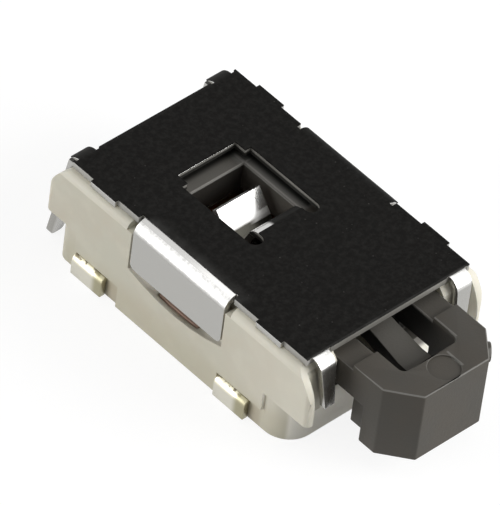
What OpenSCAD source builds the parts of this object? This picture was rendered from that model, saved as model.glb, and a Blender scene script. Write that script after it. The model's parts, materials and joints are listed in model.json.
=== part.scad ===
// Side-push tactile switch for surface mounting, in millimetres.
//
// Z = 0 is the solder plane that the switch stands on, X runs across the body
// and the button points towards -Y. The origin is on the solder plane, under
// the middle of the cover.
//
// Pushing the button slides its frame towards +Y along the rails of the
// housing. The elastic finger of the frame runs under the bent tongue of the
// cover, which presses it down on the pusher, the dome film and the snap dome,
// and the dome then joins the centre contact to the outer contact.

/* [Housing] */
// Width over the side walls
body_w = 3.20; // [3.1:0.02:3.4]
// Thickness of each side wall beside the slider
side_wall = 0.41; // [0.36:0.01:0.46]
// Reach of the ears in front of the origin
front_reach = 2.56; // [2.52:0.01:2.6]
// Reach of the ears behind the origin
rear_reach = 2.66; // [2.6:0.01:2.76]
// How far the front of the base stands back from the ears
front_setback = 0.36; // [0.3:0.01:0.42]
// How far the rear of the base stands back from the ears
rear_setback = 0.26; // [0.2:0.01:0.3]
// Radius of the front corners of the base, in plan
front_corner = 0.42; // [0.3:0.02:0.48]
// Radius of the rear corners of the base, in plan
rear_corner = 0.20; // [0.1:0.01:0.3]
// How far the ends of the base stand in from the side walls
base_inset = 0.05; // [0.02:0.01:0.08]
// Height of the base, up to the overhanging ends
base_h = 0.70; // [0.6:0.01:0.76]
// Thickness of the moulded floor under the contacts
floor_t = 0.25; // [0.2:0.01:0.3]
// Height of the slider rails above the film ledge
rail_h = 0.32; // [0.28:0.01:0.38]
// Distance between the two rails
rail_gap = 2.00; // [1.96:0.02:2.1]
// Radius along the top edges of the side walls
edge_r = 0.14; // [0.06:0.01:0.16]
// Radius of the rounded ends, seen from the side
end_r = 0.83; // [0.7:0.01:0.9]
// Height of the rounded ends below the top of the walls
end_h = 0.67; // [0.5:0.01:0.69]
// Radius of the upright corners of the ears
ear_r = 0.10; // [0.04:0.01:0.1]
// Thickness of the ears beside the tabs of the cover
ear_t = 0.11; // [0.1:0.01:0.13]
// Thickness of the front posts behind the tabs
post_t = 0.38; // [0.3:0.01:0.44]
// Gap between the ends of each flap and the recess that it hangs in
recess_gap = 0.03; // [0.02:0.01:0.05]
// How far the top of the recess opens beyond the ends of the flap
mouth_l = 0.13; // [0.08:0.01:0.2]
// Height of that wider top of the recess
mouth_h = 0.12; // [0.08:0.01:0.16]
// Rise of the recess floor from its middle to its ends
recess_rise = 0.16; // [0.08:0.01:0.18]
// Height of the lip that stands before the film's wings
lip_h = 0.02; // [0.01:0.01:0.06]
// Thickness of that lip
lip_t = 0.07; // [0.05:0.01:0.1]
// Thickness of the sill under the button
sill_t = 0.12; // [0.1:0.01:0.2]
// Width of the hollow behind the sill
hollow_w = 1.20; // [1:0.02:1.4]
// Length of the hollow behind the sill
hollow_l = 0.80; // [0.6:0.01:0.85]
// Height of the floor of that hollow
hollow_z = 0.45; // [0.4:0.01:0.6]
// Depth of the notches that the terminals lie in
notch_d = 0.05; // [0.02:0.01:0.05]
// Length of each notch in front of its terminal
notch_l = 0.25; // [0.1:0.01:0.25]

/* [Cover] */
// Width of the flat of the cover
cover_w = 2.96; // [2.9:0.02:3.08]
// Length of the flat of the cover
cover_l = 4.70; // [4.66:0.01:4.74]
// How far the front edge of the cover stands back from the line of the posts
front_back = 0.05; // [0.02:0.01:0.05]
// Thickness of the steel sheet
sheet_t = 0.10; // [0.08:0.01:0.12]
// Inside radius of the outer folds
fold_r = 0.10; // [0.06:0.01:0.12]
// Width of the relief cuts beside the folds
relief_w = 0.05; // [0.03:0.01:0.06]
// Length of each side flap along the body
flap_l = 1.80; // [1.5:0.02:1.96]
// Distance from the origin to the middle of the side flaps
flap_y = 0.08; // [0.04:0.01:0.12]
// Height of the lower edge of the side flaps
flap_foot = 0.90; // [0.88:0.01:1.1]
// Radius of the lower corners of the side flaps
flap_corner = 0.10; // [0.05:0.01:0.2]
// Width of each front tab at its fold
tab_w = 0.28; // [0.25:0.01:0.3]
// Width of each front tab at its lower edge
tab_tip_w = 0.18; // [0.12:0.01:0.22]
// Lean of the front tabs from upright
tab_lean = 6; // [0:1:8]
// Space between each front tab and the ear beside it
tab_gap = 0.10; // [0.06:0.01:0.12]
// Radius of the lower corners of the front tabs
tab_corner = 0.03; // [0.01:0.01:0.05]
// Height of the lower edge of the front tabs
tab_foot = 0.88; // [0.8:0.01:1.1]
// Width of each rear leg at its fold
leg_w = 0.33; // [0.3:0.01:0.36]
// Space between each rear leg and the ear beside it
leg_gap = 0.09; // [0.05:0.01:0.1]
// Width of each rear leg at its tip
leg_tip_w = 0.24; // [0.2:0.01:0.28]
// Lean of the rear legs from upright
leg_lean = 10; // [4:1:12]
// Radius of the lower corners of the rear legs
leg_corner = 0.08; // [0.04:0.01:0.1]
// Distance from the origin to the middle of the front lugs
lug_front = 1.60; // [1.5:0.01:1.7]
// Distance from the origin to the middle of the rear lugs
lug_rear = 1.68; // [1.6:0.01:1.8]
// Length of the small lugs on the long edges
lug_l = 0.49; // [0.3:0.01:0.55]
// How far the lugs stand out
lug_out = 0.06; // [0.03:0.01:0.08]

/* [Window and tongue] */
// Distance from the origin to the rear edge of the window
window_rear = 1.31; // [1.26:0.01:1.4]
// Width of the window beside the tongue
window_w = 1.26; // [1.2:0.01:1.34]
// Width of the window behind the shoulders
window_neck = 1.06; // [0.96:0.01:1.14]
// Length of the narrow part behind the shoulders
neck_l = 0.20; // [0.12:0.01:0.3]
// Distance from the rear edge of the window to the root of the tongue
window_l = 1.47; // [1.44:0.01:1.52]
// Length of the relief slots beside the root of the tongue
slot_l = 0.17; // [0.1:0.01:0.25]
// Width of the tongue
tongue_w = 0.79; // [0.7:0.01:0.84]
// Drop of the tongue to its lowest point
tongue_drop = 0.61; // [0.56:0.01:0.63]
// Slope of the falling part of the tongue
tongue_fall = 67; // [54:1:70]
// Slope of the rising part of the tongue
tongue_rise = 50; // [35:1:60]
// Length of the straight rising part of the tongue
tongue_rise_l = 0.49; // [0.3:0.01:0.55]
// Inside radius of the bends of the tongue
tongue_r = 0.08; // [0.03:0.01:0.09]

/* [Top film] */
// Thickness of the black film on the cover
top_film_t = 0.02; // [0.02:0.005:0.04]
// How far the film runs round the fold of the rear legs, in degrees
film_wrap = 55; // [20:1:70]
// How far the film runs round the fold of the right flap, in degrees
film_side_wrap = 60; // [20:1:70]
// How far the film stands in from the sides of the folds that it runs round
film_inset = 0.02; // [0.01:0.005:0.06]

/* [Button] */
// Width of the button head
head_w = 1.89; // [1.8:0.01:1.94]
// Length of the button head
head_l = 1.02; // [0.9:0.01:1.2]
// Height of the button head
head_h = 1.21; // [1.1:0.01:1.3]
// Width of the front face of the head
nose_w = 1.18; // [0.9:0.01:1.4]
// Length of the chamfers beside the front face
nose_l = 0.44; // [0.3:0.01:0.5]
// Distance between the rest position of the head and the ears
head_gap = 0.07; // [0.04:0.01:0.12]
// How far the top of the head stands above the arms
head_step = 0.08; // [0.05:0.01:0.1]
// Length of the stepped foot at the lower rear of the head
foot_l = 0.28; // [0.1:0.01:0.35]
// How far that foot stands in and up from the head
foot_in = 0.10; // [0.03:0.01:0.12]
// Travel of the button
travel = 0.25; // [0.15:0.01:0.26]
// Thickness of the arms and of the slider frame
frame_t = 0.48; // [0.45:0.01:0.52]
// Distance from the origin to the rear edge of the frame's opening
frame_open = 1.09; // [1.04:0.01:1.15]
// Length of the crossbar behind the opening
crossbar_l = 0.40; // [0.3:0.01:0.45]
// Width of the opening in the frame and the head
open_w = 1.02; // [0.96:0.01:1.04]
// Thickness of the front wall of the head
nose_t = 0.51; // [0.45:0.01:0.6]
// Radius of the front corners of that opening
open_r = 0.10; // [0.05:0.01:0.15]
// Diameter of the round mark in the top of the head
mark_d = 0.46; // [0.3:0.01:0.5]
// Depth of that mark
mark_h = 0.03; // [0.01:0.01:0.06]
// Diameter of the gate stub on the right chamfer of the head
stub_d = 0.28; // [0.2:0.01:0.36]
// How far that stub stands out
stub_out = 0.05; // [0.02:0.01:0.08]

/* [Elastic finger] */
// Width of the finger at the head
finger_root_w = 0.49; // [0.44:0.01:0.54]
// Width of the finger along the frame
finger_w = 0.41; // [0.34:0.01:0.44]
// Thickness of the finger
finger_t = 0.26; // [0.2:0.01:0.28]
// How far the root of the finger lies below the arms
finger_low = 0.21; // [0.15:0.01:0.23]
// How far the long part of the finger lies below the arms
finger_high = 0.06; // [0.03:0.01:0.1]
// Thickness of the tip under the tongue
tip_t = 0.13; // [0.1:0.01:0.14]
// Length of the level root of the finger, in front of the arms
finger_root_l = 0.15; // [0.1:0.01:0.2]
// Length of the falling part of the finger, before the tongue
finger_drop_l = 0.90; // [0.7:0.01:1]
// Length of the level tip in front of the root of the tongue
finger_tip_l = 0.20; // [0.15:0.01:0.25]

/* [Dome and contacts] */
// Diameter of the snap dome
dome_d = 1.90; // [1.7:0.01:1.94]
// Height of the snap dome
dome_h = 0.30; // [0.25:0.01:0.34]
// Thickness of the dome's spring steel
dome_t = 0.06; // [0.04:0.01:0.08]
// Thickness of the film over the dome
dome_film_t = 0.05; // [0.03:0.01:0.06]
// Length of the film over the dome
dome_film_l = 2.40; // [2.38:0.01:2.5]
// Length of the film's wings in the side recesses
wing_l = 0.76; // [0.5:0.02:0.9]
// Diameter of the pusher on the film
pusher_d = 0.60; // [0.4:0.01:0.8]
// Thickness of the contact strips
contact_t = 0.10; // [0.08:0.01:0.12]
// Diameter of the middle pad
pad_d = 0.70; // [0.5:0.01:0.8]
// Width of each terminal
terminal_w = 0.60; // [0.5:0.01:0.64]
// Distance from the origin to the middle of the rear terminals
rear_pins = 1.70; // [1.66:0.01:1.8]
// Distance from the origin to the middle of the front terminals
front_pins = 1.16; // [1.12:0.01:1.2]
// Inside radius of the folds of the terminals
pin_r = 0.02; // [0.01:0.01:0.04]
// Width of the strips that join the terminals
strip_w = 0.30; // [0.2:0.01:0.34]
// Width of the bridge to the middle pad
bridge_w = 0.30; // [0.2:0.01:0.32]
// Width of the ring under the rim of the dome
rim_w = 0.20; // [0.12:0.01:0.22]
// How far the terminals stand out of the side walls
pin_out = 0.06; // [0.05:0.01:0.1]

/* [Clearances] */
// Clearance between the slider and its guides
run_gap = 0.03; // [0.02:0.005:0.04]
// Clearance between the slider and the cover
head_room = 0.11; // [0.1:0.01:0.14]
// Clearance between fitted pieces that do not move
fit_gap = 0.02; // [0.01:0.005:0.03]

/* [Hidden] */
$fn = 64;
eps = 1;                                   // how far a cutter runs past a face
fold_lap = 0.05;                           // how far a folded strip laps the flat

// Heights, from the solder plane up
pocket_z = floor_t + contact_t;            // floor of the dome pocket
ledge_z = pocket_z + dome_h + run_gap;     // ledge that carries the dome film
film_top = ledge_z + dome_film_t;
rail_z = ledge_z + rail_h;                 // rails under the slider frame
frame_z = rail_z + run_gap;                // underside of the slider frame
frame_top = frame_z + frame_t;
wall_h = frame_top + head_room;            // top of the walls, under the cover
cover_top = wall_h + sheet_t;
head_top = frame_top + head_step;
head_z = head_top - head_h;
tip_top = wall_h - tongue_drop - run_gap;  // finger tip, under the tongue
pusher_top = tip_top - tip_t - run_gap;

// Plan of the housing and the slider
half_w = body_w / 2;
well_half = half_w - side_wall;            // half width of the slider well
gate_half = head_w / 2 + run_gap;          // half width of the front opening
base_front = front_reach - front_setback;
base_rear = rear_reach - rear_setback;
post_face = cover_l / 2 + fit_gap;         // front of the posts, behind the tabs
well_front = post_face - post_t;           // rear of the posts
frame_front = well_front - run_gap;        // shoulders of the slider, at rest
frame_rear = frame_open + crossbar_l;
well_rear = frame_rear + travel + run_gap;
head_back = front_reach + head_gap;
head_front = head_back + head_l;
open_front = head_front - nose_t;          // front end of the opening
round_z = wall_h - end_h;                  // where the rounded ends start

// Folds of the cover
fold_out = fold_r + sheet_t;               // outside radius of a fold
tab_face = post_face + fit_gap + sheet_t;  // outer face of the front tabs
tab_x = half_w - ear_t - tab_gap - tab_w / 2;
leg_x = half_w - ear_t - leg_gap - leg_w / 2;
leg_root = cover_l / 2 - relief_w / 2;     // where the rear legs start to fold
recess_l = flap_l + 2 * recess_gap;
flank_front = front_pins + terminal_w / 2 + notch_l;
flank_rear = rear_pins + terminal_w / 2 + fit_gap;

// Tongue: the lowest point stands over the middle of the dome
window_front = window_rear - window_l;
tongue_bends = 2 * tongue_r + sheet_t;
tongue_fall_l = (tongue_drop - tongue_bends * (1 - cos(tongue_fall))) / sin(tongue_fall);
dome_y = window_front + tongue_bends * sin(tongue_fall) + tongue_fall_l * cos(tongue_fall);

// Contacts
pocket_r = dome_d / 2 + fit_gap;
rim_in = dome_d / 2 - rim_w;
strip_x = half_w - side_wall / 2 - strip_w / 2;

// ---- helpers ---------------------------------------------------------------

// Box between two corners
module block(low, high) {
    translate(low) cube(high - low);
}

// Rectangle between two corners
module plate(low, high) {
    translate(low) square(high - low);
}

// Rectangle between two corners, with rounded corners
module rounded(low, high, r) {
    plate([low[0] + r, low[1]], [high[0] - r, high[1]]);
    plate([low[0], low[1] + r], [high[0], high[1] - r]);
    for (x = [low[0] + r, high[0] - r], y = [low[1] + r, high[1] - r])
        translate([x, y]) circle(r);
}

// Part of a flat ring between two radii, from angle a0 to a1
module ring_sector(r0, r1, a0, a1) {
    far = 3 * r1;
    mid = (a0 + a1) / 2;
    intersection() {
        difference() {
            circle(r1);
            circle(r0);
        }
        polygon([[0, 0], far * [cos(a0), sin(a0)], far * [cos(mid), sin(mid)],
                 far * [cos(a1), sin(a1)]]);
    }
}

// Side view of a bent sheet of thickness t and inside radius r. It starts along
// +X with its upper face on the X axis. Each step is [straight length, bend],
// and a negative bend turns the sheet down.
module bent_sheet(steps, t, r, i = 0) {
    if (i < len(steps)) {
        run = steps[i][0];
        bend = steps[i][1];
        plate([0, -t], [run, 0]);
        if (bend < 0)
            translate([run, -r - t]) {
                ring_sector(r, r + t, 90 + bend, 90);
                rotate(bend) translate([0, r + t]) bent_sheet(steps, t, r, i + 1);
            }
        else if (bend > 0)
            translate([run, r]) {
                ring_sector(r, r + t, -90, bend - 90);
                rotate(bend) translate([0, -r]) bent_sheet(steps, t, r, i + 1);
            }
    }
}

// Extrudes a side view in the YZ plane along X, from x0 to x1
module along_x(x0, x1) {
    translate([x0, 0, 0]) rotate([90, 0, 90]) linear_extrude(x1 - x0) children();
}

// Extrudes a front view in the XZ plane along Y, from y0 to y1
module along_y(y0, y1) {
    translate([0, y1, 0]) rotate([90, 0, 0]) linear_extrude(y1 - y0) children();
}

// Extrudes a plan along Z, from z0 to z1
module along_z(z0, z1) {
    translate([0, 0, z0]) linear_extrude(z1 - z0) children();
}

// The children and their mirror image on the other side of the body
module both_sides() {
    children();
    mirror([1, 0, 0]) children();
}

// ---- housing ---------------------------------------------------------------

// Side view of the upper body, with its rounded ends
module body_side() {
    intersection() {
        plate([-front_reach, base_h], [rear_reach, wall_h]);
        union() {
            plate([-front_reach, 0], [rear_reach, round_z]);
            plate([end_r - front_reach, 0], [rear_reach - end_r, wall_h]);
            translate([end_r - front_reach, round_z]) circle(end_r);
            translate([rear_reach - end_r, round_z]) circle(end_r);
        }
    }
}

// The body before anything is cut from it
module body_blank() {
    intersection() {
        along_x(-half_w, half_w) body_side();
        along_z(0, wall_h)
            rounded([-half_w, -front_reach], [half_w, rear_reach], ear_r);
        along_y(-front_reach, rear_reach) {
            plate([-half_w, 0], [half_w, wall_h - edge_r]);
            plate([edge_r - half_w, 0], [half_w - edge_r, wall_h]);
            for (x = [edge_r - half_w, half_w - edge_r])
                translate([x, wall_h - edge_r]) circle(edge_r);
        }
    }
    along_z(0, base_h) {
        rounded([base_inset - half_w, -base_front], [half_w - base_inset, flank_rear],
                front_corner);
        rounded([base_inset - half_w, -flank_front], [half_w - base_inset, base_rear],
                rear_corner);
        plate([-half_w, -flank_front], [half_w, flank_rear]);
    }
}

// Side view of the recess that a flap of the cover hangs in
module recess_side() {
    recess_r = (recess_l * recess_l / 4 + recess_rise * recess_rise) / (2 * recess_rise);
    intersection() {
        plate([flap_y - recess_l / 2, ledge_z], [flap_y + recess_l / 2, wall_h + eps]);
        translate([flap_y, ledge_z + lip_h + recess_r]) circle(recess_r, $fn = 180);
    }
}

module housing() {
    color("ivory") difference() {
        body_blank();
        // well of the slider frame, and the way out to the front
        block([-well_half, -well_front, rail_z], [well_half, well_rear, wall_h + eps]);
        block([-gate_half, -front_reach - eps, base_h], [gate_half, -well_front, wall_h + eps]);
        block([-gate_half, -well_front - fit_gap, rail_z], [gate_half, -well_front + eps, wall_h + eps]);
        // hollow behind the sill, under the finger
        block([-hollow_w / 2, sill_t - base_front, hollow_z],
              [hollow_w / 2, hollow_l + sill_t - base_front, wall_h]);
        block([-gate_half, -front_reach - eps, -eps], [gate_half, -base_front, wall_h + eps]);
        // room for the tabs between the ears and the posts
        block([-half_w + ear_t, -front_reach - eps, -eps], [half_w - ear_t, -post_face, wall_h + eps]);
        // space between the rails, for the film, and the dome pocket below it
        block([-rail_gap / 2, flap_y - dome_film_l / 2 - fit_gap, ledge_z],
              [rail_gap / 2, flap_y + dome_film_l / 2 + fit_gap, rail_z + eps]);
        translate([0, dome_y, pocket_z]) cylinder(r = pocket_r, h = ledge_z);
        both_sides() {
            // recess of the side flap and the slot for the film's wing
            along_x(half_w - fold_out - fit_gap, half_w + eps) {
                recess_side();
                plate([flap_y - flap_l / 2 - mouth_l, wall_h - mouth_h],
                      [flap_y + flap_l / 2 + mouth_l, wall_h + eps]);
            }
            block([rail_gap / 2 - eps / 2, flap_y - wing_l / 2 - fit_gap, ledge_z],
                  [half_w - lip_t, flap_y + wing_l / 2 + fit_gap, film_top + fit_gap]);
            block([half_w - fold_out - fit_gap, flap_y - wing_l / 2 - fit_gap, ledge_z],
                  [half_w - lip_t, flap_y + wing_l / 2 + fit_gap, wall_h]);
            // pocket of the leaning rear leg
            along_x(leg_x - leg_w / 2 - relief_w, leg_x + leg_w / 2 + relief_w)
                leg_pocket_side();
            // notches of the terminals
            for (y = [-front_pins, rear_pins])
                block([half_w - notch_d, y - terminal_w / 2 - notch_l, -eps],
                      [half_w + eps, y + terminal_w / 2 + fit_gap, pocket_z + fit_gap]);
        }
        outer_contact_shape();
        centre_contact_shape();
    }
}

// ---- cover -----------------------------------------------------------------

// Outline of the window, without the tongue
module window_outline() {
    slot_r = (window_w - tongue_w) / 4;
    plate([-window_neck / 2, window_front], [window_neck / 2, window_rear]);
    plate([-window_w / 2, window_front], [window_w / 2, window_rear - neck_l]);
    for (x = [-1, 1]) translate([x * (tongue_w / 2 + slot_r), 0]) {
        plate([-slot_r, window_front - slot_l + slot_r], [slot_r, window_front + slot_r]);
        translate([0, window_front - slot_l + slot_r]) circle(slot_r);
    }
}

// Side view of the tongue
module tongue_side() {
    translate([window_front - sheet_t, cover_top])
        bent_sheet([[sheet_t, -tongue_fall], [tongue_fall_l, tongue_fall + tongue_rise],
                    [tongue_rise_l, 0]], sheet_t, tongue_r);
}

// Flat of the cover, cut back where the tabs, flaps and legs fold down
module cover_flat() {
    difference() {
        union() {
            plate([-cover_w / 2, front_back - cover_l / 2], [cover_w / 2, cover_l / 2]);
            for (y = [-lug_front, lug_rear])
                plate([-cover_w / 2 - lug_out, y - lug_l / 2], [cover_w / 2 + lug_out, y + lug_l / 2]);
        }
        window_outline();
        both_sides() {
            plate([tab_x - tab_w / 2 - relief_w, -cover_l / 2 - eps],
                  [tab_x + tab_w / 2 + relief_w, fold_out - tab_face]);
            plate([leg_x - leg_w / 2 - relief_w, leg_root],
                  [leg_x + leg_w / 2 + relief_w, cover_l / 2 + eps]);
            plate([half_w - fold_out, flap_y - flap_l / 2 - relief_w],
                  [cover_w, flap_y + flap_l / 2 + relief_w]);
        }
    }
}

// Side view of a front tab
module tab_side() {
    drop = cover_top - fold_out - tab_foot;
    mirror([1, 0]) translate([tab_face - fold_out - fold_lap, cover_top])
        bent_sheet([[fold_lap, tab_lean - 90], [drop / cos(tab_lean), 0]], sheet_t, fold_r);
}

// Front view of a strip that spans the range top, and narrows to the range tip
// at height z, with lower corners of radius r
module taper_front(top, tip, z, r) {
    hull() {
        for (x = [tip[0] + r, tip[1] - r]) translate([x, z + r]) circle(r, $fn = 32);
        plate([top[0], cover_top], [top[1], cover_top + eps / 4]);
    }
}

// Side view of a rear leg, down past the solder plane
module leg_side() {
    translate([leg_root - fold_lap, cover_top])
        bent_sheet([[fold_lap, leg_lean - 90], [cover_top + eps, 0]], sheet_t, fold_r);
}

// Side view of the room in the housing for a rear leg
module leg_pocket_side() {
    translate([leg_root, wall_h - fold_r]) {
        rotate(leg_lean) plate([fold_r - fit_gap, -2 * wall_h], [eps, 0]);
        difference() {
            plate([0, 0], [eps, eps]);
            circle(fold_r - fit_gap);
        }
    }
}

module cover() {
    flap_x = half_w - fold_out - fold_lap;
    color("silver") {
        along_z(wall_h, cover_top) cover_flat();
        along_x(-tongue_w / 2, tongue_w / 2) tongue_side();
        both_sides() {
            // front tab
            intersection() {
                along_x(tab_x - tab_w / 2, tab_x + tab_w / 2) tab_side();
                along_y(-cover_l, 0)
                    taper_front([tab_x - tab_w / 2, tab_x + tab_w / 2],
                                [tab_x - tab_w / 2, tab_x - tab_w / 2 + tab_tip_w],
                                tab_foot, tab_corner);
            }
            // rear leg, which ends level with the solder plane
            intersection() {
                along_x(leg_x - leg_w / 2, leg_x + leg_w / 2) leg_side();
                along_y(0, cover_l)
                    taper_front([leg_x - leg_w / 2, leg_x + leg_w / 2],
                                [leg_x + leg_w / 2 - leg_tip_w, leg_x + leg_w / 2],
                                0, leg_corner);
            }
            // side flap, with rounded lower corners
            intersection() {
                along_y(flap_y - flap_l / 2, flap_y + flap_l / 2)
                    translate([flap_x, cover_top])
                        bent_sheet([[fold_lap, -90], [cover_top - fold_out - flap_foot, 0]],
                                   sheet_t, fold_r);
                along_x(flap_x, half_w + eps)
                    rounded([flap_y - flap_l / 2, flap_foot],
                            [flap_y + flap_l / 2, cover_top + eps], flap_corner);
            }
        }
    }
}

// ---- top film --------------------------------------------------------------

module top_film() {
    color("#262523") {
        along_z(cover_top, cover_top + top_film_t) cover_flat();
        // strips that run round the folds of the rear legs
        both_sides() along_x(leg_x - leg_w / 2 + film_inset, leg_x + leg_w / 2 - film_inset)
            translate([leg_root - fold_lap, cover_top + top_film_t])
                bent_sheet([[fold_lap, -film_wrap]], top_film_t, fold_out);
        // strip that runs round the fold of the right flap
        along_y(flap_y - flap_l / 2 + film_inset, flap_y + flap_l / 2 - film_inset)
            translate([half_w - fold_out - fold_lap, cover_top + top_film_t])
                bent_sheet([[fold_lap, -film_side_wrap]], top_film_t, fold_out);
    }
}

// ---- button ----------------------------------------------------------------

// Side view of the elastic finger, from the head to its tip under the tongue
module finger_side() {
    root = frame_top - finger_low;
    high = frame_top - finger_high;
    bend_y = window_front - finger_drop_l - finger_tip_l;
    tip_y = window_front - finger_tip_l;
    rise_y = -head_back - finger_root_l;
    high_y = -frame_front - finger_root_l;
    start_y = -open_front - fold_lap;
    polygon([[start_y, root - finger_t], [rise_y + fold_lap, root - finger_t],
             [high_y, high - finger_t], [bend_y - fold_lap, high - finger_t],
             [tip_y - fold_lap, tip_top - tip_t], [dome_y - tip_t / 2, tip_top - tip_t],
             [dome_y - tip_t / 2, tip_top], [tip_y, tip_top],
             [bend_y, high], [high_y, high], [rise_y, root], [start_y, root]]);
    translate([dome_y - tip_t / 2, tip_top - tip_t / 2]) circle(tip_t / 2);
}

// Outline of the opening in the frame and the head
module opening_outline() {
    plate([-open_w / 2, open_r - open_front], [open_w / 2, frame_open]);
    plate([open_r - open_w / 2, -open_front], [open_w / 2 - open_r, open_r - open_front]);
    for (x = [open_r - open_w / 2, open_w / 2 - open_r])
        translate([x, open_r - open_front]) circle(open_r);
}

module slider_button() {
    waist_y = -frame_front - 2 * finger_root_l;    // where the finger is narrow
    stub_root = stub_out;                          // how deep the stub is rooted
    stub_z = head_top - stub_d / 2 - fit_gap;      // height of its middle
    color("#4c4845") {
        // frame with its shoulders, crossbar and the two arms
        along_z(frame_z, frame_top) difference() {
            union() {
                plate([run_gap - well_half, -frame_front], [well_half - run_gap, frame_rear]);
                plate([-head_w / 2, -head_back - eps / 4], [head_w / 2, 0]);
            }
            opening_outline();
        }
        // head
        difference() {
            along_z(head_z, head_top) difference() {
                polygon([[-head_w / 2, -head_back], [head_w / 2, -head_back],
                         [head_w / 2, nose_l - head_front], [nose_w / 2, -head_front],
                         [-nose_w / 2, -head_front], [-head_w / 2, nose_l - head_front]]);
                opening_outline();
            }
            // round mark in the top
            translate([0, -open_front - nose_t / 2, head_top - mark_h])
                cylinder(d = mark_d, h = eps);
            // stepped foot
            both_sides()
                block([head_w / 2 - foot_in, -head_back - foot_l, head_z - eps],
                      [head_w, eps - head_back, frame_z]);
            block([-head_w, -head_back - foot_l, head_z - eps],
                  [head_w, eps - head_back, head_z + foot_in]);
        }
        // gate stub in the middle of the right chamfer
        translate([(head_w + nose_w) / 4, nose_l / 2 - head_front, stub_z])
            rotate([0, 90, atan2(nose_w / 2 - head_w / 2, nose_l)])
                translate([0, 0, -stub_root]) cylinder(d = stub_d, h = stub_out + stub_root);
        // elastic finger, wider at its root
        intersection() {
            along_x(-open_w / 2, open_w / 2) finger_side();
            along_z(0, cover_top) {
                plate([-finger_w / 2, waist_y], [finger_w / 2, dome_y + eps]);
                polygon([[-finger_root_w / 2, -open_front - 2 * fold_lap],
                         [finger_root_w / 2, -open_front - 2 * fold_lap],
                         [finger_w / 2, waist_y], [-finger_w / 2, waist_y]]);
            }
        }
    }
}

// ---- dome, film, pusher and contacts ---------------------------------------

module pusher() {
    color("#c9bfa6") translate([0, dome_y, film_top])
        cylinder(d = pusher_d, h = pusher_top - film_top);
}

module dome_film() {
    wing_x = half_w - lip_t - run_gap;
    color("#a5692f") along_z(ledge_z, film_top) {
        plate([fit_gap - rail_gap / 2, flap_y - dome_film_l / 2],
              [rail_gap / 2 - fit_gap, flap_y + dome_film_l / 2]);
        plate([-wing_x, flap_y - wing_l / 2], [wing_x, flap_y + wing_l / 2]);
    }
}

// Shallow dome of spring steel, standing on its rim
module snap_dome() {
    rim_r = dome_d / 2;
    ball_r = (rim_r * rim_r + dome_h * dome_h) / (2 * dome_h);
    color("gainsboro") translate([0, dome_y, pocket_z]) rotate_extrude()
        intersection() {
            translate([0, dome_h - ball_r]) difference() {
                circle(ball_r, $fn = 128);
                circle(ball_r - dome_t, $fn = 128);
            }
            plate([0, 0], [rim_r, dome_h]);
        }
}

// Two terminals of the right side, with the strip that joins them
module terminal_pair() {
    along_z(floor_t, pocket_z)
        plate([strip_x - strip_w / 2, -front_pins - terminal_w / 2],
              [strip_x + strip_w / 2, rear_pins + terminal_w / 2]);
    for (y = [-front_pins, rear_pins])
        along_y(y - terminal_w / 2, y + terminal_w / 2)
            translate([strip_x, pocket_z])
                bent_sheet([[half_w + pin_out - pin_r - contact_t - strip_x, -90],
                            [pocket_z - pin_r - contact_t, 0]], contact_t, pin_r);
}

module centre_contact_shape() {
    terminal_pair();
    along_z(floor_t, pocket_z) {
        translate([0, dome_y]) circle(d = pad_d);
        plate([0, dome_y - bridge_w / 2], [strip_x, dome_y + bridge_w / 2]);
    }
}

module outer_contact_shape() {
    mirror([1, 0, 0]) terminal_pair();
    along_z(floor_t, pocket_z) {
        plate([-strip_x, dome_y - bridge_w], [-rim_in, dome_y + bridge_w]);
        translate([0, dome_y]) difference() {
            circle(pocket_r);
            circle(rim_in);
            plate([0, -bridge_w], [2 * pocket_r, bridge_w]);
        }
    }
}

module centre_contact() {
    color("#d9cfae") centre_contact_shape();
}

module outer_contact() {
    color("#d9cfae") outer_contact_shape();
}

housing();
cover();
top_film();
slider_button();
pusher();
dome_film();
snap_dome();
centre_contact();
outer_contact();
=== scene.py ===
import json
import math

import bmesh
import bpy
from bpy.props import FloatProperty, FloatVectorProperty, PointerProperty
from mathutils import Matrix, Vector

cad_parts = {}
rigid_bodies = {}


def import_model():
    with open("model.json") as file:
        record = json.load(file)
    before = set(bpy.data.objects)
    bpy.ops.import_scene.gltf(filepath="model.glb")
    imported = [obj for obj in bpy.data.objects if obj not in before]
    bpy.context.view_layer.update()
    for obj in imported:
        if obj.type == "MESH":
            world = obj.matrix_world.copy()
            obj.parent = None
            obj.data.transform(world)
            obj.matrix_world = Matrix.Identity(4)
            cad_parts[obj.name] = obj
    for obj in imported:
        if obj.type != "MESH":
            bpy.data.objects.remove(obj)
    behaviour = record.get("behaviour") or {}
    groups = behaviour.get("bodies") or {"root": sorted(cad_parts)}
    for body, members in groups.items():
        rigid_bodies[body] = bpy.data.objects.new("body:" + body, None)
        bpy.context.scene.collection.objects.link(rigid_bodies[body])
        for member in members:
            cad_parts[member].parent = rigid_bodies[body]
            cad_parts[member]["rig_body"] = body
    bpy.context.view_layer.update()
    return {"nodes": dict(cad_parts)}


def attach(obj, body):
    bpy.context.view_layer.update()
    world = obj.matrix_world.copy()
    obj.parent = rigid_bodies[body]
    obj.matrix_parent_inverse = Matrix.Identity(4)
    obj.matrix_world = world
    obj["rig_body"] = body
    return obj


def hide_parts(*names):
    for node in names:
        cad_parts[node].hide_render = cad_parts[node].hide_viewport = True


bl_info = {
    "name": "Side-Push Tactile Switch",
    "version": (1, 0, 0),
    "blender": (4, 5, 0),
    "location": "3D View > Sidebar > Switch",
    "description": "Dresses the CAD frame of a side-push tactile switch",
    "category": "Object",
}

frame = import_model()

MM = 0.001

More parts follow.
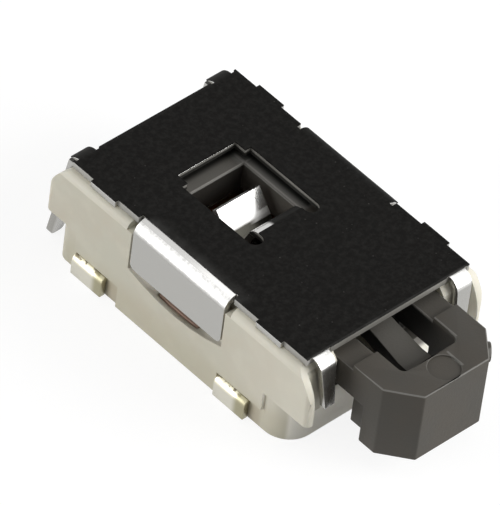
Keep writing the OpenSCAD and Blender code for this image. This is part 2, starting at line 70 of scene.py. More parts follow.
# Meshes: gaps in millimetres and turns between faces in degrees
SAME_POINT = 0.0005     # vertices closer than this are one
BEVEL_DUST = 0.0003     # as above, for what a bevel leaves
ROUND_STEPS = 2
FLAT_TURN = 0.5         # faces that turn by less are one
SHARP_TURN = 28         # edges that turn by more are shaded sharp
RESIN_TURN = 40         # edges that turn by more are rounded
BUTTON_TURN = 25
SHEET_TURN = 50

# Stage: lengths in metres, and colours
FLOOR_DROP = 0.002 * MM
FLOOR_MATT = (0.75, 0.75, 0.745)
FLOOR_THIN = (0.20, 0.20, 0.199)
FLOOR_GLOW = 0.86
WHITE = (1, 1, 1)
ROOM_LEVEL = 0.15
LAMP_TARGET = (0, 0, 0.8 * MM)
LAMPS = (   # name, direction, distance, width, level
    ("lamp_left", (-0.85, 0.50, 0.22), 0.09, 0.06, 0.68),
    ("lamp_front", (0.56, -0.72, 0.44), 0.09, 0.06, 0.98),
    ("lamp_top", (0.05, 0.0, 1.0), 0.10, 0.08, 0.18),
)

# Camera: turned to the left side, raised and rolled, in degrees. Its place, in
# millimetres, is along its own three directions from a point just under the switch.
CAMERA_TURN = -48.221
CAMERA_RAISE = 44.779
CAMERA_ROLL = -8.021
CAMERA_SIDE = -0.222
CAMERA_UP = 0.724
CAMERA_BACK = 116.811
CAMERA_DROP = 0.07
SENSOR_WIDTH = 36
FOCAL_PIXELS = 8640.07
FRAME_PIXELS = 505      # longer side of the view


# ---- mesh helpers ----------------------------------------------------------

def rounded_copy(node, name, radius, turn):
    """A copy of a CAD node with its sharp edges rounded, which then stands for it.

    radius is in metres, and turn is the smallest one, in degrees, between two faces
    whose edge is rounded. The mesh is worked on in millimetres.
    """
    source = frame["nodes"][node]
    bm = bmesh.new()
    bm.from_mesh(source.data)
    bmesh.ops.scale(bm, vec=(1 / MM,) * 3, verts=bm.verts)
    bmesh.ops.remove_doubles(bm, verts=bm.verts, dist=SAME_POINT)
    bmesh.ops.dissolve_limit(bm, angle_limit=math.radians(FLAT_TURN), verts=bm.verts,
                             edges=bm.edges)
    bmesh.ops.dissolve_degenerate(bm, dist=SAME_POINT, edges=bm.edges)
    edges = [e for e in bm.edges
             if e.is_manifold and e.is_convex and e.calc_face_angle(0) > math.radians(turn)]
    bmesh.ops.bevel(bm, geom=edges, offset=radius / MM, offset_type="OFFSET",
                    segments=ROUND_STEPS, profile=0.5, affect="EDGES", material=-1,
                    clamp_overlap=True, miter_outer="ARC")
    bmesh.ops.remove_doubles(bm, verts=bm.verts, dist=BEVEL_DUST)
    bmesh.ops.recalc_face_normals(bm, faces=bm.faces)
    bmesh.ops.scale(bm, vec=(MM,) * 3, verts=bm.verts)
    for face in bm.faces:
        face.smooth = True
    mesh = bpy.data.meshes.new(name)
    bm.to_mesh(mesh)
    bm.free()
    mesh.set_sharp_from_angle(angle=math.radians(SHARP_TURN))
    piece = bpy.data.objects.new(name, mesh)
    bpy.context.scene.collection.objects.link(piece)
    even = piece.modifiers.new("Even normals", "WEIGHTED_NORMAL")
    even.keep_sharp = True
    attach(piece, source["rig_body"])
    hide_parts(node)
    return piece


def dress(piece, material):
    """Gives a piece or a CAD node its one material."""
    piece.data.materials.clear()
    piece.data.materials.append(material)


# ---- shader helpers --------------------------------------------------------

class Wire:
    """A socket of a node tree on which Python's arithmetic adds Math nodes."""

    def __init__(self, board, socket):
        self.board = board
        self.socket = socket

    def _math(self, operation, *values):
        return self.board.node("ShaderNodeMath", {"operation": operation},
                               dict(enumerate(values))).out()

    def __add__(self, other):
        return self._math("ADD", self, other)

    __radd__ = __add__

    def __sub__(self, other):
        return self._math("SUBTRACT", self, other)

    def __rsub__(self, other):
        return self._math("SUBTRACT", other, self)

    def __mul__(self, other):
        return self._math("MULTIPLY", self, other)

    __rmul__ = __mul__

    def __abs__(self):
        return self._math("ABSOLUTE", self)

    def most(self, other):
        return self._math("MAXIMUM", self, other)

    def rise(self, low, high):
        """0 before low, 1 past high, and smooth between them; low may be the larger."""
        return self.board.node("ShaderNodeMapRange", {"interpolation_type": "SMOOTHSTEP"},
                               {"Value": self, "From Min": low, "From Max": high}).out()

    def between(self, low, high, soft):
        """1 between low and high, and 0 outside them, over a soft edge."""
        return self.rise(low - soft, low) * self.rise(high + soft, high)


class Placed:
    """A node that is in its tree, with its outputs as wires."""

    def __init__(self, board, node):
        self.board = board
        self.node = node

    def out(self, name=0):
        return Wire(self.board, self.node.outputs[name])


class Board:
    """The node tree of a material or a world, emptied and then filled by node()."""

    def __init__(self, owner):
        owner.use_nodes = True
        self.owner = owner
        self.tree = owner.node_tree
        self.tree.nodes.clear()
        self.spot = None

    def node(self, kind, settings=None, sockets=None):
        """Adds a node, with its settings first and then the values or links of its sockets."""
        node = self.tree.nodes.new(kind)
        for key, value in (settings or {}).items():
            setattr(node, key, value)
        for key, value in (sockets or {}).items():
            self._feed(node.inputs[key], value)
        return Placed(self, node)

    def _feed(self, socket, value):
        """Links a wire to a socket, or sets the socket's value."""
        if isinstance(value, Wire):
            self.tree.links.new(value.socket, socket)
        elif socket.type == "RGBA":
            socket.default_value = (*value[:3], 1)
        else:
            socket.default_value = value

    def _parts(self, vector):
        """The x, y and z of a vector wire."""
        parts = self.node("ShaderNodeSeparateXYZ", None, {0: vector})
        return [parts.out(axis) for axis in "XYZ"]

    def place(self):
        """The place on the piece, in millimetres, as a vector wire."""
        if self.spot is None:
            metres = self.node("ShaderNodeTexCoord").out("Object")
            self.spot = self.node("ShaderNodeVectorMath", {"operation": "SCALE"},
                                  {0: metres, "Scale": 1 / MM}).out()
        return self.spot

    def xyz(self):
        """The place on the piece, in millimetres, as three wires."""
        return self._parts(self.place())

    def facing(self):
        """The surface's normal, as three wires."""
        return self._parts(self.node("ShaderNodeNewGeometry").out("Normal"))

    def noise(self, scale, detail=2.0, rough=0.5, stretch=(1, 1, 1), shift=(0, 0, 0)):
        """Noise from 0 to 1, whose scale is in cells per millimetre."""
        spot = self.node("ShaderNodeMapping", None,
                         {"Vector": self.place(), "Location": shift, "Scale": stretch}).out()
        return self.node("ShaderNodeTexNoise", {"noise_dimensions": "3D"},
                         {"Vector": spot, "Scale": scale, "Detail": detail,
                          "Roughness": rough}).out("Fac")

    def specks(self, scale, size):
        """Round specks: 1 at the heart of a cell, and 0 beyond size."""
        far = self.node("ShaderNodeTexVoronoi", {"feature": "F1"},
                        {"Vector": self.place(), "Scale": scale}).out("Distance")
        return far.rise(size, size * 0.4)

    def mix(self, share, first, second):
        """A colour between two, by share."""
        mix = self.node("ShaderNodeMix", {"data_type": "RGBA"}, {"Factor": share}).node
        colours = {s.name: s for s in mix.inputs if s.type == "RGBA"}
        self._feed(colours["A"], first)
        self._feed(colours["B"], second)
        return Wire(self, next(s for s in mix.outputs if s.type == "RGBA"))

    def bump(self, height, distance, strength):
        """A normal from a height between 0 and 1, over a distance in millimetres."""
        return self.node("ShaderNodeBump", None,
                         {"Height": height, "Distance": distance * MM,
                          "Strength": strength}).out()

    def surface(self, **sockets):
        """Ends the material in one Principled shader; _ stands for a space in names."""
        values = {key.replace("_", " "): value for key, value in sockets.items()}
        shader = self.node("ShaderNodeBsdfPrincipled", None, values)
        self.node("ShaderNodeOutputMaterial", None, {"Surface": shader.out()})
        return self.owner


def material_board(name):
    """The board of a new material."""
    return Board(bpy.data.materials.new(name))


def seen_ray(board):
    """1 on rays from the camera, from gloss and through glass, which see the white room."""
    path = board.node("ShaderNodeLightPath")
    seen = path.out("Is Camera Ray").most(path.out("Is Glossy Ray"))
    return seen.most(path.out("Is Transmission Ray"))


# ---- materials -------------------------------------------------------------
#
# The names in capitals above a material are its lesser colours, and the stretches of the
# switch where its tone changes, in millimetres: x from the middle, y towards the rear and
# z from the foot. A pair that rise() takes goes from where a tone starts to where it is
# full. What side, front and up take are shares of the surface's normal.

# Housing
FRONT_PAINTED_LIGHT = (0.76, 0.725, 0.62)
FRONT_PAINTED_LIGHT_Y = (-0.4, -2.4)
SHOULDER_HIGHLIGHT = (0.78, 0.75, 0.64)
SHOULDER_X = (1.35, 1.45)
SHOULDER_Z = (1.15, 1.25)
EAR_GAP_X = (1.20, 1.47)
EAR_GAP_Y = (-2.40, -2.34)
EAR_GAP_Z = (0.25, 0.4)
EAR_GAP_DEEPER_Z = (0.95, 1.2)
LEDGE_PAINTED_LIGHT = (0.80, 0.76, 0.66)
LEDGE_X = (1.45, 1.5)
LEDGE_Y = (1.3, 1.2)
LEDGE_Z = (1.5, 1.4)
FOOT_PAINTED_LIGHT = (0.93, 0.90, 0.81)
FRONT_FOOT_Y = (-2.22, -2.1)
FRONT_FOOT_Z = (0.70, 0.55)
EAR_END_X = (1.46, 1.52)
EAR_END_Y = (-2.38, -2.42)
CORNER_SEAM_X = (1.50, 1.55)
CORNER_SEAM_Y = (-1.74, -1.68)
RECESS_X = (1.45, 1.58)
RECESS_Y = (1.2, 1.1)
RECESS_Z = (0.55, 0.95)
RECESS_DEEPER_Y = (0.3, -0.2)
GATE_SHADE = (0.006, 0.005, 0.004)
GATE_X = (1.1, 1.0)
GATE_Y = (-2.19, -1.2)
GATE_Z = (0.66, 1.4)
APRON_SHADE = (0.16, 0.15, 0.13)
APRON_X = (0.55, 1.0)
APRON_Y = (-1.9, -2.1)
APRON_Z = (0.25, 0.75)
APRON_DARK_Z = (0.40, 0.56)
WALL_FOOT_Z = (0.65, 0.25)
BROWN_PATCH_X = (1.5, 1.58)
BROWN_PATCH_Z = (0.45, 0.2)
BROWN_PATCH_FRONT_Y = (-1.62, -1.46)
BROWN_PATCH_REAR_Y = (1.22, 1.36)


def ivory_resin(look):
    """Heat-resistant moulded resin: satin, slightly mottled, with greener painted shade in its
    hollows.
    """
    board = material_board("ivory_resin")
    x, y, z = board.xyz()
    cloud = board.noise(1.1, detail=3.0, rough=0.55)
    warm = board.noise(2.3, shift=(4, 2, 7)).rise(0.45, 0.7)
    colour = board.mix(cloud.rise(0.35, 0.7), look.resin, look.resin_warm)
    colour = board.mix(warm * 0.45, colour, look.resin_pale)
    # painted light: the resin grows paler towards the front
    colour = board.mix(y.rise(*FRONT_PAINTED_LIGHT_Y) * 0.5, colour, FRONT_PAINTED_LIGHT)
    side, front, up = board.facing()
    # painted highlight along the rounded top shoulder of the side walls
    shoulder = up.between(0.2, 0.85, 0.1) * z.rise(*SHOULDER_Z) * abs(x).rise(*SHOULDER_X)
    colour = board.mix(shoulder * 0.7, colour, SHOULDER_HIGHLIGHT)
    # painted olive shade in the gap between the ears and the posts, a little deeper near its
    # top
    gap = (y.between(*EAR_GAP_Y, 0.02) * abs(x).between(*EAR_GAP_X, 0.03)
           * z.rise(*EAR_GAP_Z))
    colour = board.mix(gap * (0.45 + z.rise(*EAR_GAP_DEEPER_Z) * 0.1), colour,
                       look.resin_shade)
    # painted light: paler faces that look up behind the side flaps
    ledge = (abs(x).rise(*LEDGE_X) * abs(y).rise(*LEDGE_Y) * z.rise(*LEDGE_Z)
             * up.rise(0.5, 0.8))
    colour = board.mix(ledge, colour, LEDGE_PAINTED_LIGHT)
    # painted light: paler foot of the front, inner faces at the ears' ends and seam of the
    # corner
    foot = z.rise(*FRONT_FOOT_Z) * y.between(*FRONT_FOOT_Y, 0.06)
    ear_end = (abs(x).between(*EAR_END_X, 0.02) * y.rise(*EAR_END_Y)
               * abs(side).rise(0.7, 0.9))
    seam = (y.between(*CORNER_SEAM_Y, 0.01) * front.rise(-0.1, -0.4)
            * abs(x).rise(*CORNER_SEAM_X))
    colour = board.mix(foot.most(ear_end).most(seam), colour, FOOT_PAINTED_LIGHT)
    # painted olive shade on the floor of the recess under each flap, fainter towards the rear
    recess = (abs(x).between(*RECESS_X, 0.02) * up.rise(0.5, 0.8)
              * z.between(*RECESS_Z, 0.05))
    recess = recess * abs(y).rise(*RECESS_Y) * (0.15 + 0.35 * y.rise(*RECESS_DEEPER_Y))
    colour = board.mix(recess, colour, look.resin_shade)
    # painted shade: dark floor and walls of the gate, under the finger, and its apron at the
    # right
    gate = abs(x).rise(*GATE_X) * y.between(*GATE_Y, 0.01) * z.between(*GATE_Z, 0.03)
    colour = board.mix(gate * 0.98, colour, GATE_SHADE)
    apron = x.between(*APRON_X, 0.05) * y.rise(*APRON_Y) * z.between(*APRON_Z, 0.03)
    colour = board.mix(apron * z.rise(*APRON_DARK_Z), colour, APRON_SHADE)
    # yellower foot of the walls
    colour = board.mix(z.rise(*WALL_FOOT_Z) * (1.0 - foot) * 0.4, colour, look.resin_foot)
    # browner patch beside the terminals
    brown_patch = (abs(x).rise(*BROWN_PATCH_X) * z.rise(*BROWN_PATCH_Z)
             * y.between(*BROWN_PATCH_FRONT_Y, 0.1).most(y.between(*BROWN_PATCH_REAR_Y, 0.1)))
    colour = board.mix(brown_patch * 0.5, colour, look.resin_brown_patch)
    grain = board.noise(38.0, detail=3.0, rough=0.6)
    height = grain * 0.6 + board.noise(9.0) * 0.4
    return board.surface(Base_Color=colour, Roughness=0.42 + grain * 0.14,
                         Normal=board.bump(height, 0.006, 0.5),
                         Subsurface_Weight=0.08, Subsurface_Scale=0.15 * MM,
                         Subsurface_Radius=(1.0, 0.8, 0.5),
                         Specular_IOR_Level=0.4)


# Cover
TIP_Z = (0.75, 0.5)
TONGUE_X = (0.42, 0.40)
TONGUE_HIGHLIGHT = (0.97, 0.965, 0.95)
TONGUE_HIGHLIGHT_X = (0.30, 0.10)
TONGUE_HIGHLIGHT_Y = (0.395, 0.43)
TONGUE_HIGHLIGHT_END_Y = (1.05, 1.0)
TONGUE_HIGHLIGHT_BAND_X = (0.0, 0.15)
TONGUE_HIGHLIGHT_BAND_Y = (0.385, 0.45)
CUT_X = (1.486, 1.482)
CUT_Y = (-2.315, -2.305)
CUT_Z = (1.59, 1.605)
CUT_OUTER_X = (1.40, 1.45)
CUT_SHADE = (0.012, 0.011, 0.009)
CUT_SHADE_Y = (-2.2, -2.1)
CUT_SHADE_Z = (1.690, 1.665)
VALLEY_SHADE = (0.13, 0.127, 0.11)
VALLEY_Y = (0.262, 0.40)
VALLEY_Z = (1.26, 1.22)
DARK_ROOT_X = (-0.16, -0.08)
DARK_ROOT_Y = (-0.17, 0.12)
DARK_ROOT_Z = (1.5, 1.56)
BEND_HIGHLIGHT_DIM = (0.60, 0.595, 0.58)
BEND_HIGHLIGHT_FULL = (0.90, 0.895, 0.88)
BEND_X = (1.486, 1.49)
BEND_Y = (-2.315, -2.32)
BEND_Z = (1.3, 1.4)


def rolled_steel(look):
    """Bright stainless sheet, with faint rolling marks and duller cut edges."""
    board = material_board("rolled_steel")
    x, y, z = board.xyz()
    marks = board.noise(14.0, detail=3.0, rough=0.6, stretch=(1, 0.08, 1))
    cloud = board.noise(1.6)
    colour = board.mix(cloud * 0.5, look.steel, look.steel_dull)
    # painted shade: darker faces of the folded flaps and tabs, below their bright bends
    side, front, up = (abs(part) for part in board.facing())
    flat_side_shade = side.most(front).rise(0.86, 0.97) * up.rise(0.4, 0.2)
    colour = board.mix(flat_side_shade, colour, look.steel_painted_shading)
    colour = board.mix(z.rise(*TIP_Z) * 0.6, colour, look.steel_cut)
    # painted highlight: bright slope of the tongue, with a stripe near its valley
    within = abs(x).rise(*TONGUE_X)
    band = y.between(*TONGUE_HIGHLIGHT_BAND_Y, 0.015) * x.rise(*TONGUE_HIGHLIGHT_BAND_X) * 0.75
    slope = y.rise(*TONGUE_HIGHLIGHT_Y) * y.rise(*TONGUE_HIGHLIGHT_END_Y) * x.rise(*TONGUE_HIGHLIGHT_X)
    slope = within * slope.most(band)
    colour = board.mix(slope, colour, TONGUE_HIGHLIGHT)
    # cut faces of the flat, above the folds: painted light along its sides, painted shade in
    # the window
    cut = z.rise(*CUT_Z) * up.rise(0.7, 0.5) * abs(x).rise(*CUT_X) * y.rise(*CUT_Y)
    outer = abs(x).rise(*CUT_OUTER_X) * cut
    colour = board.mix(cut, colour, look.steel_cut)
    colour = board.mix(outer * 0.7, colour, look.steel_painted_shading)
    shade = (cut - outer) * z.rise(*CUT_SHADE_Z) * y.rise(*CUT_SHADE_Y)
    colour = board.mix(shade * 0.95, colour, CUT_SHADE)
    # painted shade in the valley of the tongue
    valley = within * y.between(*VALLEY_Y, 0.02) * z.rise(*VALLEY_Z) * (1.0 - band)
    colour = board.mix(valley, colour, VALLEY_SHADE)
    # the root of the tongue in the film's dark colour, all but its left end
    dark_root = (within * x.rise(*DARK_ROOT_X) * y.between(*DARK_ROOT_Y, 0.02)
               * z.rise(*DARK_ROOT_Z))
    colour = board.mix(dark_root, colour, look.film_pale)
    # painted highlight, mottled, on the bends of the flaps and the front tabs
    bend = (abs(x).rise(*BEND_X) * up.rise(0.05, 0.45)).most(
        y.rise(*BEND_Y) * up.rise(0.40, 0.60)) * z.rise(*BEND_Z)
    rough = board.noise(16.0, detail=3.0, rough=0.7).rise(0.34, 0.66)
    colour = board.mix(bend * 0.8, colour, board.mix(rough, BEND_HIGHLIGHT_DIM, BEND_HIGHLIGHT_FULL))
    return board.surface(Base_Color=colour, Metallic=1.0 - cut * 0.45,
                         Roughness=(0.18 + marks * 0.10 + cloud * 0.05 + (cut + dark_root) * 0.3
                                    + bend * 0.16 + slope * 0.14),
                         Normal=board.bump(marks, 0.002, 0.35))


# Film on the cover
DUST = (0.10, 0.097, 0.09)
SHEEN_SIDE_X = (-1.22, -1.44)
SHEEN_SIDE_Y = (-0.95, 0.85)
SHEEN_REAR_Y = (2.26, 2.46)
SHEEN_FRONT_Y = (-2.262, -2.285)


def black_film(look):
    """Black insulating film: soft sheen, pressed grain and stray pale specks."""
    board = material_board("black_film")
    grain = board.noise(11.0, detail=4.0, rough=0.7)
    dust = board.specks(7.0, 0.10) * board.noise(3.0, detail=1.0).rise(0.5, 0.62)
    colour = board.mix(grain.rise(0.35, 0.75), look.film, look.film_pale)
    colour = board.mix(dust * 0.5, colour, DUST)
    # painted sheen: grey where the film runs up to the bare bend of the left flap, and at its
    # ends
    x, y = board.xyz()[:2]
    patch = board.noise(5.0, detail=3.0, rough=0.6).rise(0.3, 0.7)
    painted_sheen = x.rise(*SHEEN_SIDE_X) * y.between(*SHEEN_SIDE_Y, 0.1) * (0.35 + patch * 0.65)
    painted_sheen = painted_sheen.most(y.rise(*SHEEN_REAR_Y) * 0.6)
    painted_sheen = painted_sheen.most(y.rise(*SHEEN_FRONT_Y) * (0.3 + patch * 0.5))
    colour = board.mix(painted_sheen, colour, look.film_painted_sheen)
    return board.surface(Base_Color=colour, Roughness=0.52 + grain * 0.15,
                         Normal=board.bump(grain, 0.008, 0.5), Specular_IOR_Level=0.06)


# Button, with its slider frame and finger
SHADOW = (0.012, 0.011, 0.010)
EDGE_HIGHLIGHT_Z = (1.35, 1.45)
RIM_X = (0.505, 0.535)
RIM_Y = (-3.06, -2.2)
FINGER_X = (0.45, 0.42)
FINGER_Y = (-2.85, -2.0)
MARK_X = (0.215, 0.24)
MARK_Y = (-3.50, -3.22)
MARK_Z = (1.55, 1.562)
FRAME_Y = (-0.1, 0.0)
FRAME_Z = (1.49, 1.53)
FRAME_RIGHT_X = (0.42, 0.5)
FRAME_LIP_HIGHLIGHT = (0.36, 0.345, 0.32)
FRAME_LIP_X = (0.52, 0.55)
FRAME_LIP_Y = (1.095, 1.11)
COVERED_SHADE = (0.004, 0.004, 0.003)
COVERED_X = (0.555, 0.695)
COVERED_Y = (1.24, 1.36)
CROSSBAR_Y = (0.85, 0.95)
CROSSBAR_Z = (1.5, 1.47)
SLOT_X = (0.60, 0.56)
SLOT_FRONT_Y = (-3.12, -3.06)
SLOT_REAR_Y = (-1.9, -2.0)
SLOT_Z = (1.56, 1.5)
SLOT_DEEPER_Y = (-2.9, -2.4)


def charcoal_resin(look):
    """Dark warm-grey moulded resin with a fine satin grain."""
    board = material_board("charcoal_resin")
    cloud = board.noise(1.8, detail=3.0)
    grain = board.noise(30.0, detail=3.0, rough=0.6)
    colour = board.mix(cloud.rise(0.3, 0.7), look.charcoal, look.charcoal_warm)
    # painted highlight on the rounds along the upper edges
    x, y, z = board.xyz()
    front, up = (abs(part) for part in board.facing()[1:])
    edge_highlight = up.between(0.35, 0.85, 0.1) * z.rise(*EDGE_HIGHLIGHT_Z)
    colour = board.mix(edge_highlight * 0.8, colour, look.charcoal_painted_light)
    # painted highlight on the rim of the opening and the edge of the round mark, and painted
    # light on the top of the finger
    rim = x.between(*RIM_X, 0.008) * y.between(*RIM_Y, 0.03) * up.rise(0.9, 0.97)
    finger = abs(x).rise(*FINGER_X) * y.between(*FINGER_Y, 0.1) * up.rise(0.85, 0.95)
    mark = x.between(*MARK_X, 0.006) * y.between(*MARK_Y, 0.03) * z.rise(*MARK_Z)
    colour = board.mix((rim * 0.7).most(mark * 0.7).most(finger * 0.2), colour,
                       look.charcoal_painted_light)
    # painted light on the top of the slider frame in the window, most at the right, with a
    # painted highlight on its inner lip, and painted shade on its outer part under the cover
    ring = z.between(*FRAME_Z, 0.01) * up.rise(0.9, 0.97) * y.rise(*FRAME_Y)
    colour = board.mix(ring * (0.32 + 0.6 * x.rise(*FRAME_RIGHT_X)), colour,
                       look.charcoal_painted_light)
    lip = abs(x).between(*FRAME_LIP_X, 0.02).most(y.between(*FRAME_LIP_Y, 0.015))
    colour = board.mix(ring * lip * 0.7, colour, FRAME_LIP_HIGHLIGHT)
    under = abs(x).rise(*COVERED_X).most(y.rise(*COVERED_Y))
    colour = board.mix(ring * under * 0.94, colour, COVERED_SHADE)
    # shaded face of the crossbar, below its top
    rear = front.rise(0.6, 0.8) * y.rise(*CROSSBAR_Y) * z.rise(*CROSSBAR_Z)
    colour = board.mix(rear * 0.75, colour, SHADOW)
    # painted shade on the walls of the slot, beside the finger
    slot = (abs(x).rise(*SLOT_X) * y.rise(*SLOT_FRONT_Y) * y.rise(*SLOT_REAR_Y)
            * up.rise(0.5, 0.3) * z.rise(*SLOT_Z))
    slot = slot * (0.5 + 0.5 * y.rise(*SLOT_DEEPER_Y))
    colour = board.mix(slot, colour, SHADOW)
    return board.surface(Base_Color=colour, Roughness=0.45 + grain * 0.12,
                         Normal=board.bump(grain, 0.006, 0.5), Specular_IOR_Level=0.18)


# Contacts
FOLD_Z = (0.22, 0.30)
NICKS = (0.14, 0.11, 0.06)
NICKS_Z = (0.29, 0.33)
SHADED_END = (0.27, 0.245, 0.13)
SHADED_END_X = (-1.5, -1.56)
SHADED_END_REAR_Y = (1.35, 1.50)
SHADED_END_FRONT_Y = (-1.50, -1.33)


def plated_strip(look):
    """Pale plated contact metal, golden and painted brighter on its folds, with dark tooling
    marks.
    """
    board = material_board("plated_strip")
    x, y, z = board.xyz()
    cloud = board.noise(5.0, detail=3.0, rough=0.6)
    nicks = board.noise(10.0, rough=0.6).rise(0.52, 0.60)
    # golden plating on the folds, with a painted highlight
    colour = board.mix(z.rise(*FOLD_Z), look.plating, look.plating_gold_highlight)
    colour = board.mix(nicks * z.rise(*NICKS_Z) * 0.85, colour, NICKS)
    # olive shade at the end of each left terminal that faces the button
    end = y.between(*SHADED_END_REAR_Y, 0.12).most(y.between(*SHADED_END_FRONT_Y, 0.12))
    end = end * x.rise(*SHADED_END_X)
    colour = board.mix(end * 0.75, colour, SHADED_END)
    return board.surface(Base_Color=colour, Metallic=0.9, Roughness=0.26 + cloud * 0.2,
                         Normal=board.bump(cloud, 0.006, 0.5))


# Dome film and pusher
AMBER_DEEP = (0.15, 0.05, 0.014)
WING_END = (0.46, 0.33, 0.27)
WING_END_X = (1.3, 1.42)
PUSHER_CLOUD = (0.50, 0.44, 0.32)


def amber_film(look):
    """Brown film over the dome, with paler, duller ends of its wings."""
    board = material_board("amber_film")
    cloud = board.noise(3.0)
    colour = board.mix(cloud, look.amber, AMBER_DEEP)
    ends = abs(board.xyz()[0]).rise(*WING_END_X)
    colour = board.mix(ends * (0.55 + cloud * 0.5), colour, WING_END)
    return board.surface(Base_Color=colour, Roughness=0.22 + cloud * 0.1,
                         Normal=board.bump(cloud, 0.003, 0.3))


def spring_steel(look):
    """Bright spring steel of the dome."""
    board = material_board("spring_steel")
    cloud = board.noise(6.0)
    colour = board.mix(cloud, look.steel, look.steel_dull)
    return board.surface(Base_Color=colour, Metallic=1.0, Roughness=0.2 + cloud * 0.15,
                         Normal=board.bump(cloud, 0.002, 0.3))


def pale_resin(look):
    """Pale resin of the pusher."""
    board = material_board("pale_resin")
    grain = board.noise(12.0)
    colour = board.mix(grain, look.resin_warm, PUSHER_CLOUD)
    return board.surface(Base_Color=colour, Roughness=0.45 + grain * 0.1,
                         Normal=board.bump(grain, 0.004, 0.4))


# ---- settings --------------------------------------------------------------

def colour_property(name, description, default):
    return FloatVectorProperty(name=name, description=description, default=default,
                               subtype="COLOR", size=3, min=0, max=1)


def edge_property(name, description, default, most):
    """A radius, whose default and limit are given in millimetres."""
    return FloatProperty(name=name, description=description, default=default * MM,
                         min=0, max=most * MM, unit="LENGTH", precision=5)


class SwitchSizes(bpy.types.PropertyGroup):
    resin_edge: edge_property("Resin Edges", "Radius of the edges of the moulded pieces",
                              0.03, 0.06)
    button_edge: edge_property("Button Edges", "Radius of the edges of the button",
                               0.04, 0.06)
    sheet_edge: edge_property("Sheet Edges", "Radius of the cut edges of the steel sheet",
                              0.012, 0.03)
    floor_size: FloatProperty(
        name="Floor", description="Width of the floor", default=0.6, min=0.1, unit="LENGTH")


class SwitchLook(bpy.types.PropertyGroup):
    resin: colour_property("Resin", "Ivory resin of the housing", (0.61, 0.59, 0.49))
    resin_warm: colour_property("Resin Warm", "Warmer clouds in the ivory resin",
                                (0.61, 0.565, 0.465))
    resin_pale: colour_property("Resin Pale", "Paler clouds in the ivory resin",
                                (0.68, 0.655, 0.55))
    resin_foot: colour_property("Resin Foot", "Yellower foot of the walls",
                                (0.52, 0.48, 0.345))
    resin_shade: colour_property("Resin Shade", "Olive shade in the gaps of the housing",
                                 (0.085, 0.078, 0.04))
    # browner patch beside the terminals
    resin_brown_patch: colour_property("Resin Stain", "Brown stain beside the terminals",
                                 (0.32, 0.24, 0.15))
    steel: colour_property("Steel", "Bright stainless sheet", (0.64, 0.635, 0.62))
    steel_dull: colour_property("Steel Dull", "Duller clouds on the sheet",
                                (0.56, 0.555, 0.535))
    # painted shade on the faces of the flaps and tabs, painted light on the long cut edges
    steel_painted_shading: colour_property("Steel Matt", "Duller flat faces of the flaps and tabs",
                                (0.44, 0.435, 0.415))
    steel_cut: colour_property("Steel Cut", "Cut faces of the sheet", (0.27, 0.262, 0.238))
    film: colour_property("Film", "Black film on the cover", (0.0050, 0.0047, 0.0042))
    film_pale: colour_property("Film Pale", "Paler grain of the black film",
                               (0.0155, 0.0150, 0.0138))
    # painted sheen on the film beside the bare bend and at its ends
    film_painted_sheen: colour_property("Film Worn", "Worn grey of the film beside the bare bend",
                               (0.045, 0.044, 0.042))
    charcoal: colour_property("Charcoal", "Dark resin of the button", (0.075, 0.070, 0.061))
    charcoal_warm: colour_property("Charcoal Warm", "Warmer clouds in the dark resin",
                                   (0.079, 0.071, 0.060))
    # painted highlights on the edges and painted light on the tops of the dark resin
    charcoal_painted_light: colour_property("Charcoal Pale", "Rubbed edges of the dark resin",
                                   (0.21, 0.205, 0.19))
    plating: colour_property("Plating", "Plated faces of the terminals", (0.62, 0.60, 0.52))
    # golden plating of the folds, with a painted highlight
    plating_gold_highlight: colour_property("Plating Gold", "Golden folds of the terminals",
                                  (0.90, 0.86, 0.68))
    amber: colour_property("Amber", "Brown film over the dome", (0.20, 0.065, 0.018))
    lamp_level: FloatProperty(name="Lamps", description="Level of the studio lamps",
                              default=1.0, min=0, max=4)


# ---- operators -------------------------------------------------------------

class SWITCH_OT_housing(bpy.types.Operator):
    """Round the edges of the housing and give it its ivory resin"""
    bl_idname = "switch.housing"
    bl_label = "Housing"

    def execute(self, context):
        sizes, look = context.scene.switch_sizes, context.scene.switch_look
        piece = rounded_copy("housing", "housing_moulding", sizes.resin_edge, RESIN_TURN)
        dress(piece, ivory_resin(look))
        return {"FINISHED"}


class SWITCH_OT_cover(bpy.types.Operator):
    """Break the cut edges of the folded cover and give it its steel"""
    bl_idname = "switch.cover"
    bl_label = "Cover"

    def execute(self, context):
        sizes, look = context.scene.switch_sizes, context.scene.switch_look
        piece = rounded_copy("cover", "cover_sheet", sizes.sheet_edge, SHEET_TURN)
        dress(piece, rolled_steel(look))
        return {"FINISHED"}


class SWITCH_OT_top_film(bpy.types.Operator):
    """Give the film on the cover its black grain"""
    bl_idname = "switch.top_film"
    bl_label = "Top Film"

    def execute(self, context):
        dress(frame["nodes"]["top_film"], black_film(context.scene.switch_look))
        return {"FINISHED"}


class SWITCH_OT_button(bpy.types.Operator):
    """Round the edges of the button with its slider and give it its dark resin"""
    bl_idname = "switch.button"
    bl_label = "Button"

    def execute(self, context):
        sizes, look = context.scene.switch_sizes, context.scene.switch_look
        piece = rounded_copy("slider_button", "button_moulding", sizes.button_edge,
                             BUTTON_TURN)
        dress(piece, charcoal_resin(look))
        return {"FINISHED"}


class SWITCH_OT_contacts(bpy.types.Operator):
    """Break the edges of the contacts and give them their pale plating"""
    bl_idname = "switch.contacts"
    bl_label = "Contacts"

    def execute(self, context):
        sizes, look = context.scene.switch_sizes, context.scene.switch_look
        plating = plated_strip(look)
        for node in ("centre_contact", "outer_contact"):
            piece = rounded_copy(node, node + "_strip", sizes.sheet_edge, SHEET_TURN)
            dress(piece, plating)
        return {"FINISHED"}


